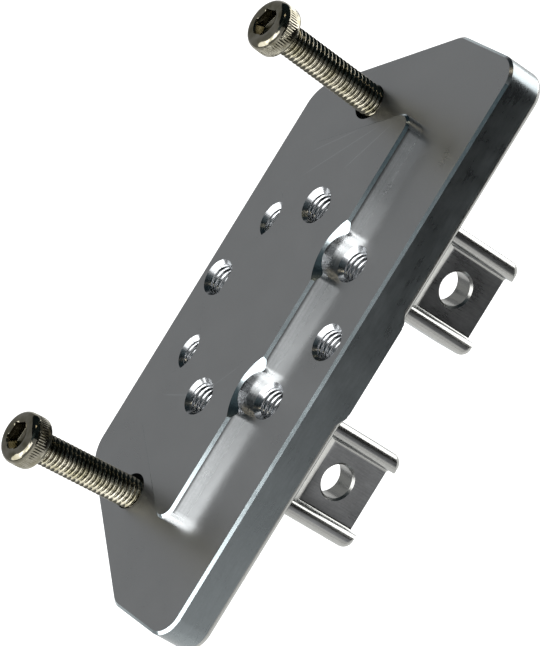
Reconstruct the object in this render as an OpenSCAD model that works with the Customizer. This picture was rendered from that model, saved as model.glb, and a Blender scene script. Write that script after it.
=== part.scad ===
// Tube mount: a six-sided plate with a raised pad, a circle of eight tapped
// holes, two lugs behind one long edge and two cap screws standing in it.
// Millimetres. The origin is the centre of the hole circle on the pad's top:
// +X along the plate's length, +Y away from the lugs, +Z out of the front.

/* [Plate] */
// Length of the plate at the lug side
plate_l = 118.5; // [104:0.5:140]
// Width of the plate
plate_w = 50.8; // [49:0.2:60]
// Thickness of the plate beside the pad
plate_t = 8.5; // [6:0.1:12]
// Straight part of each end, from the lug side to the slanted edge
end_straight = 19.4; // [14:0.2:24]
// Slant of the two cut-off corners from the plate's width
slant = 32; // [24:0.5:38]
// Bevel round the front face
front_bevel = 0.5; // [0.3:0.1:1.4]
// Rounding of the edge round the back face
back_round = 1.5; // [0.5:0.1:1.8]
// Radius of the two corners on the lug side
lug_corner_r = 5; // [3:0.5:8]
// Radius of the corners where the ends meet the slanted edges
mid_corner_r = 4.5; // [3:0.5:8]
// Radius of the corners where the slanted edges meet the far side
far_corner_r = 7; // [3:0.5:10]
// Radius of the cutter that rounds the back edge and stops between the lugs
round_tool_r = 3.5; // [2.5:0.5:8]
// From each lug's inner side to where that cutter stops, outwards
round_stop = 1.45; // [1:0.05:2.5]

/* [Raised pad] */
// Height of the pad above the plate's front
pad_h = 3.5; // [2:0.1:6]
// From the hole circle's centre to the pad wall on the lug side
pad_near = 11.3; // [10.5:0.1:12.5]
// From the hole circle's centre to the pad wall on the far side
pad_far = 12.5; // [10.5:0.1:12.8]
// Shelf between each slanted edge of the plate and the pad's end wall
pad_shelf = 15.7; // [14:0.1:18]
// Bevel round the pad's top
pad_bevel = 0.5; // [0.3:0.1:1.2]
// Radius of the pad's two sharp corners
pad_sharp_r = 2.8; // [1.5:0.1:4]
// Radius of the pad's two blunt corners
pad_blunt_r = 3; // [1.5:0.1:5]
// Radius of the scallops that clear the four diagonal holes
scallop_r = 5.1; // [4.4:0.1:5.6]
// Radius that blends a scallop into the pad wall
blend_r = 2; // [1.5:0.1:2.5]

/* [Tapped holes] */
// Diameter of the circle that the holes lie on
circle_d = 40; // [38:0.5:42]
// Diameter of each tapped hole
tap_d = 6; // [5:0.1:6.4]
// Diameter of the countersink at its mouth
tap_sink_d = 7.3; // [6.6:0.1:8]

/* [Cap screws] */
// Diameter over the thread
screw_d = 5.95; // [5:0.05:6.3]
// Length under the head
screw_l = 30; // [26:1:40]
// Diameter of the head
head_d = 10; // [9:0.1:11]
// Height of the head
head_h = 4.5; // [4:0.1:6]
// Bevel round the top of the head
head_bevel = 1; // [0.2:0.1:1.2]
// Size of the hexagon socket across its flats
socket_af = 5; // [4:0.1:5.5]
// Depth of the hexagon socket
socket_deep = 2.6; // [1.5:0.1:3]
// Play of the screw in its hole, across the diameter
screw_play = 1.05; // [0.7:0.05:1.4]
// Gap left where the screw leans on the rim of its hole
screw_gap = 0.15; // [0.05:0.05:0.25]
// Lean of each screw towards the plate's nearer end
screw_lean = 2.2; // [0:0.1:2.5]
// How far the right screw's head stands off the plate's front
right_stand = 23.6; // [20:0.1:27]
// How far the left screw's head stands off the plate's front
left_stand = 22.6; // [20:0.1:27]
// From each slanted edge of the plate to its screw hole
screw_inset = 8; // [7:0.1:9]
// From the line through the hole circle to the screw holes, away from the lugs
screw_off = 7.9; // [4:0.1:12]

/* [Lugs] */
// Distance between the two lugs
lug_spacing = 40; // [36:0.5:46]
// Width of each lug
lug_w = 19.2; // [17.5:0.1:20]
// Reach of the lugs behind the plate
lug_reach = 17; // [15:0.5:24]
// Thickness of each flange
flange_t = 3.2; // [3:0.1:3.5]
// From the plate's edge to the flange fronts
flange_back = 1.5; // [1:0.1:2]
// From the plate's edge to the web's face
web_back = 4.9; // [4:0.1:6]
// Thickness of the web
web_t = 5; // [3:0.1:6]
// Rounding round the outside of the flange fronts
flange_round = 1.5; // [0.5:0.1:1.6]
// Rounding of the inner edges of the flange fronts
flange_inner_round = 1.4; // [0.5:0.1:1.6]
// Radius of the lug's end corners
lug_end_r = 2; // [1.9:0.1:3]
// Radius in the channel's corners
channel_r = 0.6; // [0.3:0.1:1.2]
// Cove where the web meets the plate's back
cove_r = 4.5; // [2:0.1:5]
// Diameter of the hole through the web
lug_hole_d = 6.4; // [5.5:0.1:6.8]
// From the plate's back to the hole's centre
lug_hole_drop = 9; // [8:0.1:10]
// Bevel at both ends of the hole
lug_hole_bevel = 0.4; // [0.2:0.1:0.8]

/* [Hidden] */
$fn = 96;
cut = 1;
front_z = -pad_h;
back_z = front_z - plate_t;
near_y = -plate_w / 2;
far_y = plate_w / 2;
end_x = plate_l / 2;
bend_y = near_y + end_straight;
far_x = end_x - (far_y - bend_y) * tan(slant);
rim_lap = 0.1;
slab_turns = 72;
round_steps = 5;
edge_lap = 0.2;
edge_spare = 1;
blend_steps = 8;
scallop_steps = 18;
corner_steps = 8;
lug_rim_w = flange_round + 2 * rim_lap;
plate_pts = [
    [-end_x, near_y],
    [end_x, near_y],
    [end_x, bend_y],
    [far_x, far_y],
    [-far_x, far_y],
    [-end_x, bend_y]
];
plate_radii = [lug_corner_r, lug_corner_r, mid_corner_r, far_corner_r, far_corner_r, mid_corner_r];

// X of a line that runs beside the slanted edge, inset square to it, at height y
function slant_x(y, inset) = end_x - (y - bend_y) * tan(slant) - inset / cos(slant);

pad_pts = [
    [-slant_x(-pad_near, pad_shelf), -pad_near],
    [slant_x(-pad_near, pad_shelf), -pad_near],
    [slant_x(pad_far, pad_shelf), pad_far],
    [-slant_x(pad_far, pad_shelf), pad_far]
];
pad_radii = [pad_sharp_r, pad_sharp_r, pad_blunt_r, pad_blunt_r];

hole_count = 8;
hole_step = 360 / hole_count;
diagonal = circle_d / 2 * sin(hole_step);
tap_sink_deep = (tap_sink_d - tap_d) / 2;
sink_lap = 0.2;

screw_hole_d = screw_d + screw_play;
screw_x = slant_x(screw_off, screw_inset);
screw_shift = (screw_hole_d / 2 - screw_gap) - screw_d / 2 / cos(screw_lean);
screw_tip_bevel = 0.6;
head_foot_bevel = 0.2;

lug_x = lug_spacing / 2;
flange_front_y = near_y + flange_back;
web_front_y = near_y + web_back;
web_rear_y = web_front_y + web_t;
lug_end_z = back_z - lug_reach;
lug_hole_z = back_z - lug_hole_drop;
lug_deep = web_rear_y - flange_front_y;
channel_w = lug_w - 2 * flange_t;
channel_deep = web_front_y - flange_front_y;
lug_root = 3;
cove_half = channel_w / 2 + flange_inner_round;
cove_over = max(0, cove_r - web_back + back_round);
cove_drop = sqrt(pow(cove_r, 2) - pow(cove_over, 2));
cove_lap = 1;
stop_x = lug_x - lug_w / 2 + round_stop;
sharp_half = stop_x - edge_spare;

steel = [0.42, 0.41, 0.37];
alloy = [0.66, 0.67, 0.68];

function unit(v) = v / norm(v);
function inward(v) = [-v[1], v[0]];
function turned(a, b) = a[0] * b[0] + a[1] * b[1];

// Corner i of an outline that runs anticlockwise: directions in and out
function dir_in(p, i) = unit(p[i] - p[(i + len(p) - 1) % len(p)]);
function dir_out(p, i) = unit(p[(i + 1) % len(p)] - p[i]);
function turn(p, i) = acos(turned(dir_in(p, i), dir_out(p, i)));
function tangent_in(p, r, i) = p[i] - dir_in(p, i) * r[i] * tan(turn(p, i) / 2);
function tangent_out(p, r, i) = p[i] + dir_out(p, i) * r[i] * tan(turn(p, i) / 2);
function centre_of(p, r, i) = tangent_in(p, r, i) + inward(dir_in(p, i)) * r[i];
function heading(v) = atan2(v[1], v[0]);

// A flat body with rounded corners whose rim has the section given as a child:
// x from -depth to 0 at the rim, y its height from low to high
module rimmed(p, r, depth, low, high) {
    n = len(p);
    inset = depth - rim_lap;
    core = [for (i = [0:n - 1], side = [0, 1])
        side == 0
            ? tangent_in(p, r, i) + inward(dir_in(p, i)) * inset
            : tangent_out(p, r, i) + inward(dir_out(p, i)) * inset];
    translate([0, 0, low])
        linear_extrude(height = high - low)
            polygon(core);
    for (i = [0:n - 1]) {
        a = tangent_out(p, r, i);
        b = tangent_in(p, r, (i + 1) % n);
        translate([b[0], b[1], 0])
            rotate([0, 0, heading(b - a) - 90])
                rotate([90, 0, 0])
                    linear_extrude(height = norm(b - a))
                        children(0);
        c = centre_of(p, r, i);
        translate([c[0], c[1], 0])
            rotate_extrude() {
                translate([r[i], 0])
                    children(0);
                translate([0, low])
                    square([r[i] - inset, high - low]);
            }
    }
}

// The six-sided slab: the hull of one turned disc at each of its corners, with
// the bevel at the front and the rounding at the back in the disc's section
module slab() {
    hull()
        for (i = [0:len(plate_pts) - 1]) {
            c = centre_of(plate_pts, plate_radii, i);
            rim = plate_radii[i];
            translate([c[0], c[1], 0])
                rotate_extrude($fn = slab_turns)
                    polygon(concat(
                        [[0, front_z], [rim - front_bevel, front_z], [rim, front_z - front_bevel]],
                        [for (k = [0:round_steps])
                            let (t = 90 * k / round_steps)
                            [
                                rim - back_round * (1 - cos(t)),
                                back_z + back_round * (1 - sin(t))
                            ]],
                        [[0, back_z]]
                    ));
        }
}

// The back edge stays sharp between the lugs, where the rounding cutter stops:
// its run-outs are arcs of the cutter's largest circle
module sharp_edge() {
    difference() {
        translate([-sharp_half, near_y, back_z])
            cube([2 * sharp_half, back_round + 2 * edge_lap, back_round + edge_lap]);
        for (side = [-1, 1])
            translate([side * stop_x, near_y - round_tool_r, back_z - cut])
                cylinder(h = back_round + 3 * cut, r = round_tool_r + back_round + edge_lap);
    }
}

// Points of an arc round c from angle a to angle b, without the first and the
// last skip of them
function arc(c, r, a, b, steps, skip) =
    [for (k = [skip:steps - skip])
        c + r * [cos(a + (b - a) * k / steps), sin(a + (b - a) * k / steps)]];

// One scallop of the pad's outline, run from left to right along a wall that
// lies gap above the hole's centre: blend, scallop, blend, all inset by e. The
// blends hold the points where they meet the scallop.
function blend_y(gap) = gap + blend_r;
function blend_x(gap) = sqrt(pow(scallop_r + blend_r, 2) - pow(blend_y(gap), 2));
function scallop(gap, e) =
    let (x = blend_x(gap), y = blend_y(gap), b = atan2(y, x))
    concat(
        arc([-x, y], blend_r - e, -90, -b, blend_steps, 0),
        arc([0, 0], scallop_r + e, 180 - b, b, scallop_steps, 1),
        arc([x, y], blend_r - e, 180 + b, 270, blend_steps, 0)
    );
function pad_corner(i, e) =
    let (a = heading(dir_in(pad_pts, i)) - 90)
    arc(centre_of(pad_pts, pad_radii, i), pad_radii[i] - e, a, a + turn(pad_pts, i), corner_steps, 0);
function near_scallop(side, e) =
    [for (q = scallop(diagonal - pad_near, e)) [side * diagonal, -diagonal] + q];
function far_scallop(side, e) =
    [for (q = scallop(diagonal - pad_far, e)) [side * diagonal, diagonal] - q];

// The pad's outline, anticlockwise, inset by e
function pad_outline(e) = concat(
    pad_corner(0, e),
    near_scallop(-1, e),
    near_scallop(1, e),
    pad_corner(1, e),
    pad_corner(2, e),
    far_scallop(1, e),
    far_scallop(-1, e),
    pad_corner(3, e)
);

// The pad: upright walls with a bevel round the top, in three rings of points.
// The points of its two long sides pair off, so both flat ends are rows of
// four-sided strips that reach across it.
module pad() {
    rings = [[0, front_z - cut], [0, -pad_bevel], [pad_bevel, 0]];
    n = len(pad_outline(0));
    polyhedron(
        points = [for (ring = rings, q = pad_outline(ring[0])) [q[0], q[1], ring[1]]],
        faces = concat(
            [for (i = [0:n / 2 - 2]) [i, i + 1, n - 2 - i, n - 1 - i]],
            [for (i = [0:n / 2 - 2])
                [3 * n - 1 - i, 3 * n - 2 - i, 2 * n + i + 1, 2 * n + i]],
            [for (layer = [0, 1], i = [0:n - 1])
                let (j = (i + 1) % n, low = layer * n, high = low + n)
                [high + i, high + j, low + j, low + i]]
        )
    );
}

// One tapped hole through the plate, countersunk where its mouth is
module tap_hole(mouth_z) {
    translate([0, 0, back_z - cut])
        cylinder(h = mouth_z - back_z + 2 * cut, d = tap_d);
    translate([0, 0, mouth_z - tap_sink_deep])
        cylinder(h = tap_sink_deep + sink_lap, d1 = tap_d, d2 = tap_sink_d + 2 * sink_lap);
}

module holes() {
    for (i = [0:hole_count - 1])
        rotate([0, 0, i * hole_step])
            translate([circle_d / 2, 0, 0])
                tap_hole(i % (hole_count / 2) == 0 ? 0 : front_z);
    for (side = [-1, 1])
        translate([side * screw_x, screw_off, back_z - cut])
            cylinder(h = plate_t + 2 * cut, d = screw_hole_d);
}

// Section of a lug's rim, rounded at the front: y is the depth from the front
module lug_rim() {
    translate([-lug_rim_w, 0])
        square([lug_rim_w, lug_deep - flange_round]);
    translate([-lug_rim_w, 0])
        square([lug_rim_w - flange_round, lug_deep]);
    intersection() {
        translate([-flange_round, lug_deep - flange_round])
            square([flange_round, flange_round]);
        translate([-flange_round, lug_deep - flange_round])
            circle(r = flange_round);
    }
}

// Plan of the channel: y = 0 on the web's face, the flange fronts at -deep
module channel_plan() {
    half = channel_w / 2;
    lip = flange_inner_round;
    difference() {
        translate([-half, -channel_deep - cut])
            square([channel_w, channel_deep + cut]);
        for (side = [-1, 1])
            difference() {
                translate([side * (half - channel_r / 2), -channel_r / 2])
                    square([channel_r, channel_r], center = true);
                translate([side * (half - channel_r), -channel_r])
                    circle(r = channel_r);
            }
    }
    for (side = [-1, 1])
        difference() {
            translate([side * (half + lip / 2), -channel_deep + (lip - cut) / 2])
                square([lip, lip + cut], center = true);
            translate([side * (half + lip), -channel_deep + lip])
                circle(r = lip);
        }
}

// Section of the cove under the plate: its arc meets the web tangent and the
// plate's back no nearer the edge than where the rounding ends
module cove_section() {
    difference() {
        translate([cove_over - cove_r, -cove_drop])
            square([cove_r - cove_over + cove_lap, cove_drop + cove_lap]);
        translate([-cove_r, -cove_drop])
            circle(r = cove_r);
    }
}

module lug_block() {
    half = lug_w / 2;
    root_z = back_z + lug_root;
    outline = [
        [-half, lug_end_z],
        [half, lug_end_z],
        [half, root_z],
        [-half, root_z]
    ];
    radii = [lug_end_r, lug_end_r, lug_end_r, lug_end_r];
    translate([0, web_rear_y, 0])
        rotate([90, 0, 0])
            rimmed(outline, radii, lug_rim_w, 0, lug_deep)
                lug_rim();
}

module lug() {
    difference() {
        union() {
            difference() {
                lug_block();
                translate([0, web_front_y, lug_end_z - cut])
                    linear_extrude(height = lug_reach + lug_root + 2 * cut)
                        channel_plan();
            }
            translate([-cove_half, web_front_y, back_z])
                rotate([90, 0, 90])
                    linear_extrude(height = 2 * cove_half)
                        cove_section();
        }
        translate([0, web_rear_y + cut, lug_hole_z])
            rotate([90, 0, 0])
                cylinder(h = web_t + cove_r + cut, d = lug_hole_d);
        translate([0, web_front_y + lug_hole_bevel, lug_hole_z])
            rotate([90, 0, 0])
                cylinder(
                    h = lug_hole_bevel,
                    d1 = lug_hole_d,
                    d2 = lug_hole_d + 2 * lug_hole_bevel
                );
        translate([0, web_rear_y, lug_hole_z])
            rotate([90, 0, 0])
                cylinder(
                    h = lug_hole_bevel,
                    d1 = lug_hole_d + 2 * lug_hole_bevel,
                    d2 = lug_hole_d
                );
    }
}

module mount_plate() {
    color(alloy) {
        difference() {
            union() {
                slab();
                sharp_edge();
                pad();
                for (side = [-1, 1])
                    translate([side * lug_x, 0, 0])
                        lug();
            }
            holes();
        }
    }
}

// A cap screw along Z, its head's underside at the origin
module cap_screw() {
    color(steel)
        difference() {
            rotate_extrude()
                polygon([
                    [0, -screw_l],
                    [screw_d / 2 - screw_tip_bevel, -screw_l],
                    [screw_d / 2, -screw_l + screw_tip_bevel],
                    [screw_d / 2, 0],
                    [head_d / 2 - head_foot_bevel, 0],
                    [head_d / 2, head_foot_bevel],
                    [head_d / 2, head_h - head_bevel],
                    [head_d / 2 - head_bevel, head_h],
                    [0, head_h]
                ]);
            translate([0, 0, head_h - socket_deep])
                cylinder(h = socket_deep + cut, d = socket_af / cos(30), $fn = 6);
        }
}

module right_screw() {
    translate([screw_x + screw_shift, screw_off, front_z])
        rotate([0, screw_lean, 0])
            translate([0, 0, right_stand])
                cap_screw();
}

module left_screw() {
    translate([-screw_x - screw_shift, screw_off, front_z])
        rotate([0, -screw_lean, 0])
            translate([0, 0, left_stand])
                cap_screw();
}

mount_plate();
right_screw();
left_screw();
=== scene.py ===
"""Tube mount: a machined aluminium plate with a raised pad, eight tapped
holes, two lugs and two stainless cap screws.  The object's lengths are written
in millimetres and scaled to metres when a mesh is made; the studio's lengths
are in metres."""
import math

import bmesh
import bpy
import numpy as np
from mathutils import Matrix, Vector


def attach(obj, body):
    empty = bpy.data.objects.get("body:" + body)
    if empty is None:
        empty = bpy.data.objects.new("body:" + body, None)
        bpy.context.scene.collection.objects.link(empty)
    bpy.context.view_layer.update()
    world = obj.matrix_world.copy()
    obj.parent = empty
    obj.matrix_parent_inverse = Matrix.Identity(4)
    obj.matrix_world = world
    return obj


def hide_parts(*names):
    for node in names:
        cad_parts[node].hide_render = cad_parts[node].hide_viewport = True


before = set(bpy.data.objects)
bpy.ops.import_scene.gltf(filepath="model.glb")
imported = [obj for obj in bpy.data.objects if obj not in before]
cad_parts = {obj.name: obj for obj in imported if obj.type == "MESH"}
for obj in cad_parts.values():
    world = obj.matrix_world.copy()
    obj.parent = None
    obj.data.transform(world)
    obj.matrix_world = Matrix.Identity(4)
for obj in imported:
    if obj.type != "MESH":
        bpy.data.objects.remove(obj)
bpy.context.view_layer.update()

MM = 0.001
FULL_TURN = 2 * math.pi

# Sizes repeated from the part's source, in millimetres and degrees
PAD_H = 3.5
PLATE_T = 8.5
FRONT_Z = -PAD_H
BACK_Z = FRONT_Z - PLATE_T
EDGE_Y = -25.4
END_X = 59.25
BEND_Y = -6.0
SLANT = 32.0
BACK_ROUND = 1.5
HOLES = 8
HOLE_CIRCLE_R = 20.0
TAP_R = 3.0
TAP_SINK_R = 3.65
SCREW_D = 5.95
SCREW_L = 30.0
SCREW_HOLE_R = 3.5
SCREW_GAP = 0.15
SCREW_LEAN = 2.2
SCREW_INSET = 8.0
SCREW_Y = 7.9
SCREW_X = (END_X - (SCREW_Y - BEND_Y) * math.tan(math.radians(SLANT))
           - SCREW_INSET / math.cos(math.radians(SLANT)))
SCREW_SHIFT = SCREW_HOLE_R - SCREW_GAP - SCREW_D / 2 / math.cos(math.radians(SCREW_LEAN))
RIGHT_STAND = 23.6
LEFT_STAND = 22.6
HEAD_D = 10.0
HEAD_H = 4.5
SOCKET_AF = 5.0
SOCKET_DEEP = 2.6

# Sizes of the detail that only this file has, in millimetres
THREAD_PITCH = 1.0
THREAD_DEEP = 0.55
THREAD_ROW = 0.0625
TIP_CHAMFER = 0.2
SHOULDER_R = 1.45
SHOULDER_H = 1.6
KNURLS = 60
KNURL_DEEP = 0.13
SLEEVE_R = 3.03
SLEEVE_CREST_R = 2.98
SLEEVE_DEEP = 0.26
CUTTER_R = 1.6
STOP_X = 11.5
RUN_OUT_L = 4.2
RUN_OUT_IN = 0.4
RUN_OUT_GAP = 0.02
RIM_R = 9.6
RIM_SHIFT = 4.0

# Columns of the turned surfaces
HEAD_COLS = 432
SHANK_COLS = 96
SLEEVE_COLS = 72
RIM_COLS = 120

# How the plate's faces are told apart: parts of a unit normal, then places
FLAT = 0.99
UPRIGHT = 0.01
STRAIGHT = 0.985
ALONG = 0.95
TILTED = 0.05
COVE_TILT = 0.1
COVE_H = 5.0
RIM_H = 0.2
END_FROM_X = 50.0
SLACK = 0.01

# Join distance of loose corners and height of the metals' relief, in metres
WELD = 2e-6
RELIEF = 0.00002

WHITE = (1, 1, 1, 1)


def grid_mesh(points, ring):
    """A closed surface on a grid of points (rows, columns, 3) whose columns
    run once round.  In a ring the rows close too; otherwise the first and the
    last row are filled with triangles about their middle."""
    rows, cols = points.shape[:2]
    verts = points.reshape(-1, 3) * MM
    r = np.arange(rows if ring else rows - 1)
    c = np.arange(cols)
    rr, cc = np.meshgrid(r, c, indexing="ij")
    nr, nc = (rr + 1) % rows, (cc + 1) % cols
    quads = np.stack([rr * cols + cc, rr * cols + nc, nr * cols + nc, nr * cols + cc], -1)
    quads = quads.reshape(-1, 4)
    loops, starts = [quads.ravel()], [np.arange(len(quads)) * 4]
    if not ring:
        first, last = len(verts), len(verts) + 1
        ends = [points[0].mean(0)[None] * MM, points[-1].mean(0)[None] * MM]
        verts = np.vstack([verts] + ends)
        base = (rows - 1) * cols
        following = (c + 1) % cols
        tris = np.vstack([np.stack([np.full(cols, first), following, c], -1),
                          np.stack([np.full(cols, last), base + c, base + following], -1)])
        loops.append(tris.ravel())
        starts.append(len(quads) * 4 + np.arange(len(tris)) * 3)
    mesh = bpy.data.meshes.new("part")
    mesh.vertices.add(len(verts))
    mesh.vertices.foreach_set("co", verts.astype(np.float32).ravel())
    flat = np.concatenate(loops).astype(np.int32)
    mesh.loops.add(len(flat))
    mesh.loops.foreach_set("vertex_index", flat)
    mesh.polygons.add(sum(len(s) for s in starts))
    mesh.polygons.foreach_set("loop_start", np.concatenate(starts).astype(np.int32))
    mesh.update(calc_edges=True)
    mesh.validate()
    return mesh


def closed_mesh(name, grids, ring=False):
    """One mesh of closed surfaces, a grid for each, with faces outward."""
    bm = bmesh.new()
    for points in grids:
        part = grid_mesh(points, ring)
        bm.from_mesh(part)
        bpy.data.meshes.remove(part)
    bmesh.ops.recalc_face_normals(bm, faces=bm.faces)
    mesh = bpy.data.meshes.new(name)
    bm.to_mesh(mesh)
    bm.free()
    return mesh


def new_object(name, data):
    """A new object in the scene."""
    obj = bpy.data.objects.new(name, data)
    bpy.context.scene.collection.objects.link(obj)
    return obj


def add_piece(name, mesh, materials, smooth_below):
    """Puts a mesh into the scene as a piece of the fixed body, shaded smooth
    except at edges sharper than smooth_below degrees."""
    obj = new_object(name, mesh)
    for material in materials:
        mesh.materials.append(material)
    mesh.polygons.foreach_set("use_smooth", np.ones(len(mesh.polygons), bool))
    mesh.set_sharp_from_angle(angle=math.radians(smooth_below))
    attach(obj, "root")
    return obj


def soften(mesh, first):
    """Takes the sharp mark off every edge from the given vertex on."""
    ends = np.zeros(len(mesh.edges) * 2, np.int32)
    mesh.edges.foreach_get("vertices", ends)
    marks = mesh.attributes["sharp_edge"].data
    sharp = np.zeros(len(mesh.edges), bool)
    marks.foreach_get("value", sharp)
    marks.foreach_set("value", sharp & (ends.reshape(-1, 2).min(1) < first))


def angles(cols):
    """The angle of each column, once round."""
    return np.arange(cols) * FULL_TURN / cols


def turned_grid(profile, cols):
    """Rings about the axis from (radius, height) pairs, where a radius is one
    number or one per angle."""
    a = angles(cols)
    radius = np.array([r + np.zeros(cols) for r, z in profile])
    height = np.array([z + np.zeros(cols) for r, z in profile])
    return np.stack([radius * np.cos(a), radius * np.sin(a), height], -1)


def head_grid():
    """The head from the middle of the socket's floor, up its six walls, over
    the rounded shoulder, down the knurled side to the underside.  The socket's
    radius is half the size across flats over the cosine of the angle from the
    middle of its flat; the shoulder is a quarter of an ellipse."""
    a = angles(HEAD_COLS)
    from_flat = np.mod(a + np.pi / 6, np.pi / 3) - np.pi / 6
    hexagon = SOCKET_AF / 2 / np.cos(from_flat)
    lip = np.maximum(hexagon + 0.02, SOCKET_AF / 2 + 0.30)
    edge = HEAD_D / 2
    floor_z = HEAD_H - SOCKET_DEEP
    face_z = HEAD_H - 0.06
    socket = [(hexagon * 0.02, floor_z - 0.55), (hexagon * 0.55, floor_z - 0.25),
              (hexagon * 0.97, floor_z), (hexagon, floor_z + 0.08),
              (hexagon, HEAD_H - 0.36), (hexagon, HEAD_H - 0.26),
              (lip, face_z - 0.03), (lip + 0.06, face_z)]
    t = np.linspace(0, math.pi / 2, 13)
    shoulder = [(edge - SHOULDER_R - 0.1, HEAD_H - 0.01)]
    shoulder += list(zip(edge - SHOULDER_R + SHOULDER_R * np.sin(t),
                         HEAD_H - SHOULDER_H * (1 - np.cos(t))))
    ridges = 0.5 + 0.5 * np.cos(a * KNURLS)
    groove = KNURL_DEEP * np.clip(ridges * 1.5 - 0.35, 0, 1)
    top, low = HEAD_H - SHOULDER_H + 0.1, 1.0
    side = [(edge - groove * share, z) for z, share in (
        (top, 0.15), (top - 0.2, 0.7), (top - 0.5, 1.0), (low + 0.8, 0.8), (low + 0.4, 0.4),
        (low, 0.0))]
    underside = [(edge, 0.7), (edge - 0.04, 0.42), (edge - 0.15, 0.20), (edge - 0.36, 0.05),
                 (edge - 0.6, 0.0), (SCREW_D / 2 - 0.3, 0.0)]
    return turned_grid(socket + shoulder + side + underside, HEAD_COLS)


def ridge(phase):
    """Height of a thread's turn over one pitch, 0 at the root and 1 at the
    crest: a cosine raised to 0.65, so that the crest is broad and the root
    narrow."""
    return (0.5 + 0.5 * np.cos(FULL_TURN * phase)) ** 0.65


def shank_grid():
    """The rolled thread: a root cylinder with a rounded ridge that climbs one
    pitch a turn, faded in under the head and out at the tip."""
    a = angles(SHANK_COLS)
    crest, root = SCREW_D / 2, SCREW_D / 2 - THREAD_DEEP
    end = SCREW_L - TIP_CHAMFER
    z = np.concatenate([[-0.05, 0.0], np.arange(THREAD_ROW, end, THREAD_ROW)])
    zz, aa = np.meshgrid(-z, a, indexing="ij")
    start = np.clip((z - 0.1) / 0.5, 0, 1)[:, None]
    tip = np.clip((end - z) / 0.7, 0, 1)[:, None]
    r = root + (crest - root) * ridge(zz / THREAD_PITCH - aa / FULL_TURN) * start
    r = np.minimum(r, root - 0.1 + (crest - root + 0.1) * tip)
    thread = np.stack([r * np.cos(aa), r * np.sin(aa), zz], -1)
    point = turned_grid([(root - 0.15, -SCREW_L + 0.02), (0.3, -SCREW_L)], SHANK_COLS)
    return np.concatenate([thread, point], 0)


def stand_screw(points, side, stand, turn):
    """Turns the screw about its own axis, leans it towards the plate's nearer
    end, and stands its head off the plate's front."""
    a = math.radians(turn)
    spin = np.array([[math.cos(a), -math.sin(a), 0], [math.sin(a), math.cos(a), 0], [0, 0, 1]])
    b = math.radians(SCREW_LEAN) * side
    lean = np.array([[math.cos(b), 0, math.sin(b)], [0, 1, 0], [-math.sin(b), 0, math.cos(b)]])
    p = points @ spin.T + np.array([0, 0, stand])
    return p @ lean.T + np.array([side * (SCREW_X + SCREW_SHIFT), SCREW_Y, FRONT_Z])


def hole_thread(cx, cy, mouth_z, turn):
    """A threaded sleeve inside a tapped hole.  The radius of its inner face is
    a cosine of the height in pitches less the angle in turns, so that it goes
    in and out once a pitch along a helix.  The countersink's cone cuts it back
    at the mouth and a like cone at its lower end.  Its outer face lies in the
    metal."""
    a = angles(SLEEVE_COLS)
    top = mouth_z - (TAP_SINK_R - TAP_R) + 0.02
    low = BACK_Z + 0.35
    zz, aa = np.meshgrid(np.arange(top, low, -THREAD_ROW), a, indexing="ij")
    wave = 0.5 + 0.5 * np.cos(FULL_TURN * (zz / THREAD_PITCH - aa / FULL_TURN + turn))
    inner = SLEEVE_CREST_R - SLEEVE_DEEP * wave
    inner = np.maximum(inner, np.minimum(TAP_SINK_R - (mouth_z - zz), TAP_R))
    inner = np.maximum(inner, TAP_R - (zz - low))
    skin = np.stack([cx + inner * np.cos(aa), cy + inner * np.sin(aa), zz], -1)
    oz, oa = np.meshgrid(np.array([low, top]), a, indexing="ij")
    back = np.stack([cx + SLEEVE_R * np.cos(oa), cy + SLEEVE_R * np.sin(oa), oz], -1)
    return np.concatenate([skin, back], 0)


def linear(hex_colour):
    """sRGB hex to linear RGBA."""
    v = [int(hex_colour[i:i + 2], 16) / 255 for i in (1, 3, 5)]
    return tuple(c / 12.92 if c <= 0.04045 else ((c + 0.055) / 1.055) ** 2.4
                 for c in v) + (1.0,)


def node(tree, kind, links=None, **settings):
    """Adds one node: settings go to its properties or, with a capital, to its
    inputs by name; links give (input, socket) pairs."""
    n = tree.nodes.new(kind)
    for key, value in settings.items():
        if key in n.bl_rna.properties:
            setattr(n, key, value)
        else:
            n.inputs[key.replace("_", " ")].default_value = value
    for where, socket in (links or {}).items():
        tree.links.new(socket, n.inputs[where])
    return n


def fill(tree, n, values):
    """Sets each numbered input of a node to a constant or links it."""
    for where, value in values:
        if isinstance(value, (float, int, tuple)):
            n.inputs[where].default_value = value
        else:
            tree.links.new(value, n.inputs[where])


def ramp(tree, socket, low, high, out_low, out_high):
    """Maps low...high to out_low...out_high, held at both ends."""
    n = node(tree, "ShaderNodeMapRange")
    fill(tree, n, enumerate((socket, low, high, out_low, out_high)))
    return n.outputs[0]


def mix_colour(tree, factor, a, b, blend="MIX"):
    """Mixes two colours by a factor."""
    n = node(tree, "ShaderNodeMix", data_type="RGBA", blend_type=blend)
    fill(tree, n, ((0, factor), (6, a), (7, b)))
    return n.outputs[2]


def math_node(tree, op, *values, clamp=False):
    """One step of arithmetic."""
    n = node(tree, "ShaderNodeMath", operation=op, use_clamp=clamp)
    fill(tree, n, enumerate(values))
    return n.outputs[0]


def dot(tree, socket, direction):
    """The dot product of a vector socket with a fixed direction."""
    n = node(tree, "ShaderNodeVectorMath", {0: socket}, operation="DOT_PRODUCT")
    n.inputs[1].default_value = direction
    return n.outputs["Value"]


def noise(tree, vector, size_mm, detail, roughness=0.5):
    """A noise texture with spots of about the given size."""
    return node(tree, "ShaderNodeTexNoise", {"Vector": vector}, Scale=1.0 / (size_mm * MM),
                Detail=detail, Roughness=roughness).outputs["Fac"]


def wander(tree, fac, low, high):
    """A noise's usual range stretched to low...high."""
    return ramp(tree, fac, 0.3, 0.7, low, high)


def object_coords(tree):
    """The object's own coordinates, in metres."""
    return node(tree, "ShaderNodeTexCoord").outputs["Object"]


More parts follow.
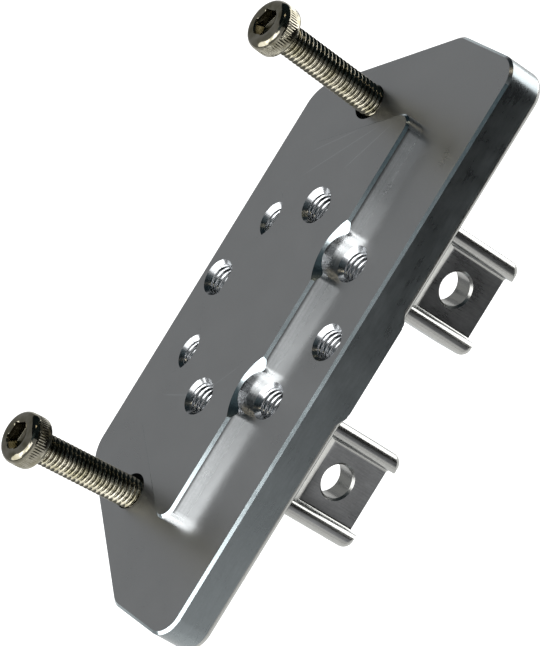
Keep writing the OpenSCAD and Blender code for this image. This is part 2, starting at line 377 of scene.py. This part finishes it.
def axis(tree, vector, letter):
    """One part of a vector."""
    return node(tree, "ShaderNodeSeparateXYZ", {0: vector}).outputs[letter]


def new_material(name):
    """An empty material and its node tree."""
    m = bpy.data.materials.new(name)
    m.use_nodes = True
    m.node_tree.nodes.clear()
    return m, m.node_tree


def ends_in(tree, shader):
    """Links a shader to the material's output."""
    node(tree, "ShaderNodeOutputMaterial", {"Surface": shader.outputs[0]})


def metal_surface(tree, base, rough, height, strength):
    """Ends a material as bare metal with a fine relief."""
    bump = node(tree, "ShaderNodeBump", {"Height": height}, Strength=strength, Distance=RELIEF)
    ends_in(tree, node(tree, "ShaderNodeBsdfPrincipled",
                       {"Base Color": base, "Roughness": rough, "Normal": bump.outputs[0]},
                       Metallic=1.0))


def scratch_mask(tree, position, start, end, width):
    """1 on a thin straight scratch between two points of the pad, else 0.
    Distance from the line is the dot product with its normal; the length along
    it is the dot product with its direction.  Points in mm, width in mm."""
    (x0, y0), (x1, y1) = start, end
    length = math.hypot(x1 - x0, y1 - y0)
    dx, dy = (x1 - x0) / length, (y1 - y0) / length
    across = math_node(tree, "SUBTRACT", dot(tree, position, (-dy, dx, 0)),
                       (-dy * x0 + dx * y0) * MM)
    line = ramp(tree, math_node(tree, "ABSOLUTE", across), 0.0, width * MM, 1.0, 0.0)
    along = math_node(tree, "SUBTRACT", dot(tree, position, (dx, dy, 0)),
                      (dx * (x0 + x1) / 2 + dy * (y0 + y1) / 2) * MM)
    half = length / 2 * MM
    inside = ramp(tree, math_node(tree, "ABSOLUTE", along), half * 0.7, half, 1.0, 0.0)
    return math_node(tree, "MULTIPLY", line, inside)


def scratched(tree, coords, base, rough, scratches):
    """Base colour and roughness with pale, duller scratches.  The mask fades
    out below the front, so that they don't show on the back."""
    mask = scratch_mask(tree, coords, *scratches[0])
    for scratch in scratches[1:]:
        mask = math_node(tree, "MAXIMUM", mask, scratch_mask(tree, coords, *scratch))
    front = ramp(tree, axis(tree, coords, "Z"), BACK_Z / 2 * MM, FRONT_Z * 1.2 * MM, 0.0, 1.0)
    mask = math_node(tree, "MULTIPLY", mask, front)
    duller = math_node(tree, "MULTIPLY", mask, 0.2)
    return (mix_colour(tree, mask, base, linear("#C9CCCE")),
            math_node(tree, "ADD", rough, duller, clamp=True))


def machined_alloy(name, colour, roughness, grain_mm, grain_stretch, grain_bump, spread,
                   scratches=(), painted_shade_below_bevel=False):
    """Aluminium 6082 cut with a milling cutter: bright grey metal, its fine
    tool marks seen as faint streaks one way and a slightly uneven sheen.  The
    spread is how far the tone wanders about the colour."""
    m, t = new_material(name)
    coords = object_coords(t)
    stretched = node(t, "ShaderNodeMapping", {"Vector": coords}, Scale=grain_stretch)
    streaks = noise(t, stretched.outputs[0], grain_mm, 3.0, 0.6)
    clouds = noise(t, coords, 9, 4.0, 0.65)
    specks = noise(t, coords, 0.35, 2.0)
    tone = math_node(t, "ADD", wander(t, streaks, -spread, spread),
                     wander(t, clouds, -spread, spread))
    tone = math_node(t, "ADD", tone, wander(t, specks, -spread * 0.5, spread * 0.5))
    base = mix_colour(t, 1.0, linear(colour), math_node(t, "ADD", tone, 1.0), "MULTIPLY")
    rough = math_node(t, "ADD", wander(t, clouds, roughness * 0.85, roughness * 1.15),
                      wander(t, streaks, -0.02, 0.02), clamp=True)
    if scratches:
        base, rough = scratched(t, coords, base, rough, scratches)
    if painted_shade_below_bevel:
        # Painted shade: the base colour falls to 0.3 of itself from 1.25 mm to 0.75 mm under the
        # pad's top and stays there up to the bevel
        shade = ramp(t, axis(t, coords, "Z"), -1.25 * MM, -0.75 * MM, 1.0, 0.3)
        base = mix_colour(t, 1.0, base, shade, "MULTIPLY")
    metal_surface(t, base, rough, streaks, grain_bump)
    return m


def stainless(name, light, dark, roughness):
    """A2 stainless steel, cold headed and thread rolled: dark warm grey with a
    yellowish cast, glossy, and clouded between a lighter and a darker tone."""
    m, t = new_material(name)
    coords = object_coords(t)
    clouds = noise(t, coords, 2.2, 4.0)
    fine = noise(t, coords, 0.3, 3.0)
    base = mix_colour(t, ramp(t, clouds, 0.35, 0.65, 0.0, 1.0), linear(light), linear(dark))
    rough = math_node(t, "ADD", wander(t, clouds, roughness * 0.8, roughness * 1.2),
                      wander(t, fine, -0.03, 0.03), clamp=True)
    metal_surface(t, base, rough, fine, 0.15)
    return m


# The clearest scratches on the pad: start, end and width in millimetres
PAD_SCRATCHES = (
    ((39.3, -7.1), (27.7, -1.2), 0.10),
    ((38.2, -4.3), (23.0, 9.1), 0.08),
    ((35.5, 1.0), (27.8, 10.6), 0.07),
    ((-23.4, 10.2), (-19.7, -0.2), 0.07),
    ((-19.7, -0.2), (-11.3, -6.2), 0.07),
)

thread_alloy = machined_alloy("aluminium_cut_thread", "#B4B6B8", 0.20, 0.5, (1.0, 1.0, 1.0),
                              0.03, 0.02)
screw_steel = stainless("stainless_rolled_thread", "#969285", "#716D5B", 0.12)

# The plate's finishes, and a material for each in the same order
FACE, SIDE, BEVEL, WEB, THREAD, LUG, WALL, SCALLOP, COVE = range(9)
PLATE_ALLOYS = (
    # Flat faces, fine milled and faintly scratched
    machined_alloy("aluminium_face_fine_milled", "#AFB0B0", 0.32, 0.25, (1.0, 0.25, 1.0),
                   0.04, 0.015, scratches=PAD_SCRATCHES),
    # Long and end sides, milled with the side of the cutter; their base colour is darker and a
    # little more teal than the face's, as painted shade
    machined_alloy("aluminium_side_milled_painted_shade", "#7E8486", 0.30, 0.5, (0.15, 0.15, 1.0),
                   0.10, 0.05),
    # Bevels and roundings, bright from a sharp form cutter; their slight teal tint is a painted
    # reflection
    machined_alloy("aluminium_bevel_polished", "#B9C4C7", 0.16, 0.3, (0.3, 0.3, 1.0),
                   0.05, 0.02),
    # The lugs' webs, end milled with long upright marks
    machined_alloy("aluminium_web_end_milled", "#8E8F90", 0.30, 0.22, (1.0, 1.0, 0.06),
                   0.3, 0.12),
    # Countersinks and bores, as bright as the cut threads
    thread_alloy,
    # Rounded edges of the lugs and of the plate's back
    machined_alloy("aluminium_lug_edges", "#9B9B98", 0.24, 0.3, (0.3, 0.3, 1.0),
                   0.05, 0.03),
    # The pad's straight walls, streaked along, with painted shade under the bevel
    machined_alloy("aluminium_pad_wall", "#C0C2C3", 0.24, 0.3, (0.008, 1.0, 1.0),
                   0.05, 0.10, painted_shade_below_bevel=True),
    # The scallops' round walls
    machined_alloy("aluminium_scallop_wall", "#D6D8D9", 0.28, 0.3, (1.0, 1.0, 0.1),
                   0.05, 0.05),
    # The coves under the plate, cut with a ball-nosed cutter; their base colour, much lighter than
    # the web's, is a painted highlight
    machined_alloy("aluminium_cove_ball_milled_painted_highlight", "#C6C6C2", 0.34, 0.3, (1.0, 1.0, 0.3),
                   0.1, 0.06),
)


def hole_place(k):
    """The middle of one of the tapped holes."""
    a = k * math.pi / 4
    return HOLE_CIRCLE_R * math.cos(a), HOLE_CIRCLE_R * math.sin(a)


def cad_surface(node_name):
    """A new mesh of a CAD solid's own surface, its loose triangles joined."""
    loose = bpy.data.objects[node_name].data
    place = np.zeros(len(loose.vertices) * 3, np.float32)
    corner = np.zeros(len(loose.loops), np.int32)
    loose.vertices.foreach_get("co", place)
    loose.loops.foreach_get("vertex_index", corner)
    mesh = bpy.data.meshes.new("plate_body")
    mesh.from_pydata(place.reshape(-1, 3), [], corner.reshape(-1, 3))
    bm = bmesh.new()
    bm.from_mesh(mesh)
    bmesh.ops.remove_doubles(bm, verts=bm.verts, dist=WELD)
    bm.to_mesh(mesh)
    bm.free()
    return mesh


def run_out_grid(side):
    """The metal that the rounding cutter leaves where it draws away from the
    back edge.  At depth d past the rounding's start the cutter's radius is
    its own plus R - sqrt(R^2 - d^2), so the cut narrows with depth and ends in
    a slanted line on the side.  A small gap keeps it off the side's surface."""
    x = np.linspace(STOP_X - RUN_OUT_L, STOP_X, 25)
    d = np.linspace(0.0, BACK_ROUND, 13)
    reach = CUTTER_R + BACK_ROUND - np.sqrt(BACK_ROUND ** 2 - d ** 2)
    across = np.sqrt(np.maximum(reach[None] ** 2 - (x[:, None] - STOP_X) ** 2, 0.0))
    y = EDGE_Y + np.maximum(across - CUTTER_R - RUN_OUT_GAP, 0.0)
    z = np.broadcast_to(BACK_Z + BACK_ROUND - d, y.shape)
    inside = EDGE_Y + BACK_ROUND + RUN_OUT_IN
    y = np.concatenate([y, np.full((len(x), 2), inside)], 1)
    z = np.concatenate([z, np.full((len(x), 1), BACK_Z),
                        np.full((len(x), 1), BACK_Z + BACK_ROUND)], 1)
    return np.stack([np.broadcast_to(side * x[:, None], y.shape), y, z], -1)


def rim_grid(side):
    """A cone of 90 degrees, RIM_R wide at the pad's top, for the rim of one of
    the two near scallops.  It stands a little nearer to the plate's edge than
    the hole does, so that the bevel it cuts grows wider towards both ends."""
    low, top = -2.0, 0.3
    cone = turned_grid([(RIM_R + low, low), (RIM_R + top, top)], RIM_COLS)
    at = hole_place(1)[0]
    return cone + np.array([side * at, -at - RIM_SHIFT, 0.0])


def reworked(mesh):
    """Fills the run-outs of the back edge's rounding and cuts the rims of the
    two near scallops."""
    run_outs = closed_mesh("run_outs", [run_out_grid(side) for side in (-1, 1)])
    rims = closed_mesh("rim_cones", [rim_grid(side) for side in (-1, 1)])
    body = new_object("body", mesh)
    tools = [new_object("tool", m) for m in (run_outs, rims)]
    for tool, operation in zip(tools, ("UNION", "DIFFERENCE")):
        step = body.modifiers.new(operation.lower(), "BOOLEAN")
        step.object, step.operation, step.solver = tool, operation, "EXACT"
    depsgraph = bpy.context.evaluated_depsgraph_get()
    done = bpy.data.meshes.new_from_object(body.evaluated_get(depsgraph))
    for obj in [body] + tools:
        bpy.data.objects.remove(obj)
    for old in (mesh, run_outs, rims):
        bpy.data.meshes.remove(old)
    done.name = "plate_body"
    return done


def cut_finish(mesh):
    """The finish of the cut that makes each face of the plate, told by the way
    the face looks and where it lies."""
    normal = np.zeros(len(mesh.polygons) * 3, np.float32)
    centre = np.zeros(len(mesh.polygons) * 3, np.float32)
    mesh.polygons.foreach_get("normal", normal)
    mesh.polygons.foreach_get("center", centre)
    nx, ny, nz = normal.reshape(-1, 3).T
    x, y, z = centre.reshape(-1, 3).T / MM
    front, back = nz > FLAT, nz < -FLAT
    upright = np.abs(nz) < UPRIGHT
    straight = np.abs(ny) > STRAIGHT
    on_pad = z > FRONT_Z
    on_plate = (z < FRONT_Z - RIM_H) & (z > BACK_Z - SLACK)
    on_lug = z < BACK_Z + SLACK
    finish = np.full(len(nz), BEVEL)
    finish[front | back] = FACE
    finish[upright & on_plate] = SIDE
    # The bevel round the corners of the right-hand end is as dull as the face
    end_corner = (z < FRONT_Z) & (x > END_FROM_X) & (np.abs(ny) > TILTED) & (nx > TILTED)
    finish[(finish == BEVEL) & end_corner] = FACE
    finish[upright & on_pad] = WALL
    finish[upright & on_pad & ~straight] = SCALLOP
    finish[(on_lug | (on_plate & (nz < -UPRIGHT))) & ~back] = LUG
    finish[on_lug & straight] = WEB
    finish[on_lug & upright & (np.abs(nx) > ALONG)] = SIDE
    finish[on_lug & (z > BACK_Z - COVE_H) & (ny < -COVE_TILT) & (nz < -COVE_TILT)] = COVE
    from_hole = np.minimum.reduce([np.hypot(x - hx, y - hy)
                                   for hx, hy in map(hole_place, range(HOLES))])
    finish[(from_hole < TAP_SINK_R) & ~front & ~back & ~on_lug] = THREAD
    return finish.astype(np.int32)


def plate_piece():
    """The plate: the CAD solid's own surface, merged, with its two reworked
    details and a finish for each kind of cut."""
    mesh = reworked(cad_surface("mount_plate"))
    finish = cut_finish(mesh)
    obj = add_piece("plate_body", mesh, PLATE_ALLOYS, 28.0)
    mesh.polygons.foreach_set("material_index", finish)
    mesh.update()
    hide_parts("mount_plate")


def thread_pieces():
    """A sleeve for each tapped hole, started at another angle in each.  Two of
    the holes open in the pad, the others in the plate's front."""
    for k in range(HOLES):
        mouth = 0.0 if k % 4 == 0 else FRONT_Z
        mesh = closed_mesh(f"thread_{k}", [hole_thread(*hole_place(k), mouth, k * 0.37)], ring=True)
        add_piece(f"tapped_thread_{k + 1}", mesh, [thread_alloy], 85.0)


def screw_pieces():
    """The two cap screws, each turned its own way."""
    head, shank = head_grid(), shank_grid()
    head_verts = head.shape[0] * head.shape[1] + 2
    for name, side, stand, turn in (("right_screw", 1, RIGHT_STAND, 8.0),
                                    ("left_screw", -1, LEFT_STAND, 22.0)):
        mesh = closed_mesh(name + "_mesh", [stand_screw(points, side, stand, turn)
                                            for points in (head, shank)])
        screw = add_piece(name + "_threaded", mesh, [screw_steel], 38.0)
        soften(mesh, head_verts)
        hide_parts(name)


plate_piece()
thread_pieces()
screw_pieces()


def studio_surface(name, corners, material):
    """A flat surface of the studio."""
    mesh = bpy.data.meshes.new(name)
    mesh.from_pydata(corners, [], [(0, 1, 2, 3)])
    obj = new_object(name, mesh)
    mesh.materials.append(material)
    return obj


def white_floor(z, half):
    """Matt white paper: lit by the lamps, and lifted to white where it is seen
    directly or in metal."""
    m, t = new_material("floor_white_paper")
    path = node(t, "ShaderNodeLightPath").outputs
    shiny = math_node(t, "MAXIMUM", path["Is Glossy Ray"], path["Is Transmission Ray"])
    level = math_node(t, "ADD", path["Is Camera Ray"], math_node(t, "MULTIPLY", shiny, 0.55))
    paper = node(t, "ShaderNodeBsdfDiffuse", Color=linear("#F4F4F2"))
    lift = node(t, "ShaderNodeEmission", {"Strength": level}, Color=WHITE)
    ends_in(t, node(t, "ShaderNodeAddShader", {0: paper.outputs[0], 1: lift.outputs[0]}))
    studio_surface("floor", [(-half, -half, z), (half, -half, z), (half, half, z),
                             (-half, half, z)], m)


def white_world():
    """Soft light from all round, and plain white where the camera sees it."""
    world = bpy.data.worlds.new("studio")
    bpy.context.scene.world = world
    world.use_nodes = True
    t = world.node_tree
    t.nodes.clear()
    seen = node(t, "ShaderNodeLightPath").outputs["Is Camera Ray"]
    sky = node(t, "ShaderNodeBackground", {"Color": mix_colour(t, seen, linear("#E6E8EA"), WHITE),
                                           "Strength": ramp(t, seen, 0.0, 1.0, 0.42, 1.2)})
    node(t, "ShaderNodeOutputWorld", {"Surface": sky.outputs[0]})


def softbox(name, place, width, height, watts, colour="#FFFFFF"):
    """A soft lamp aimed at the object, not seen by the camera itself."""
    light = bpy.data.lights.new(name, "AREA")
    light.shape = "RECTANGLE"
    light.size = width
    light.size_y = height
    light.energy = watts
    light.color = linear(colour)[:3]
    obj = new_object(name, light)
    obj.location = place
    obj.visible_camera = False
    obj.rotation_euler = (-Vector(place)).to_track_quat("-Z", "Y").to_euler()


def felt_card(name, corners, colour):
    """A felt card that the camera doesn't see and that casts no shadow."""
    m, t = new_material(name + "_felt")
    ends_in(t, node(t, "ShaderNodeBsdfDiffuse", Color=linear(colour)))
    card = studio_surface(name, corners, m)
    card.visible_camera = False
    card.visible_shadow = False
    return card


def graded_card():
    """A grey card below the camera, nearly black at the right and white at the
    left, seen only in the metal."""
    m, t = new_material("card_graded_grey")
    level = ramp(t, axis(t, object_coords(t), "X"), -0.10, 0.02, 1.0, 0.02)
    ends_in(t, node(t, "ShaderNodeEmission", {"Strength": level}, Color=WHITE))
    card = studio_surface("graded_card", [(-0.5, -0.30, -0.50), (0.5, -0.30, -0.50),
                                          (0.5, -0.30, -0.03), (-0.5, -0.30, -0.03)], m)
    card.visible_camera = False
    card.visible_diffuse = False
    card.visible_shadow = False


def fitted_camera():
    """The photograph's camera, as it was fitted to the outline's corners."""
    camera = new_object("camera", bpy.data.cameras.new("camera"))
    camera.data.sensor_fit = "VERTICAL"
    camera.data.sensor_height = 24.0
    camera.data.lens = 161.0
    camera.data.clip_start = 0.01
    camera.data.clip_end = 50.0
    right = Vector((0.5235, -0.48559, -0.7001))
    up = Vector((0.85201, 0.29416, 0.43307))
    back = Vector((-0.00435, -0.82321, 0.56772))
    turned = Matrix((right, up, back)).transposed().to_4x4()
    camera.matrix_world = Matrix.Translation((-0.00561, -0.63813, 0.43523)) @ turned
    bpy.context.scene.camera = camera


white_floor(-0.6, 6)
white_world()

softbox("key_softbox", (-0.46, -0.40, 0.52), 0.8, 0.5, 3.2)
softbox("camera_side_softbox", (-0.30, -0.75, 0.50), 0.7, 0.35, 2.3)
softbox("bevel_strip", (-0.16, -0.44, 0.65), 0.16, 0.2, 0.16)
softbox("left_softbox", (-0.85, 0.05, 0.50), 0.9, 0.8, 7.5)
softbox("warm_lamp", (0.68, -0.14, 0.42), 0.10, 0.12, 0.12, "#FFF0D4")
softbox("low_right_softbox", (0.62, -0.05, -0.42), 0.8, 0.28, 3.0)

# Beside the object: it keeps the right-hand reflections dark
felt_card("dark_card", [(0.75, -1.9, -0.4), (0.75, 0.7, -0.4), (0.75, 0.7, 2.4),
                        (0.75, -1.9, 2.4)], "#263136")
# Above the camera's right: it darkens the front bevels towards that end
bevel_card = felt_card("bevel_card", [(0.08, -0.66, 0.50), (0.60, -0.66, 0.50),
                                      (0.60, -0.36, 0.80), (0.08, -0.36, 0.80)], "#5A676C")
bevel_card.visible_diffuse = False
graded_card()

fitted_camera()
bpy.context.scene.view_settings.view_transform = "Standard"
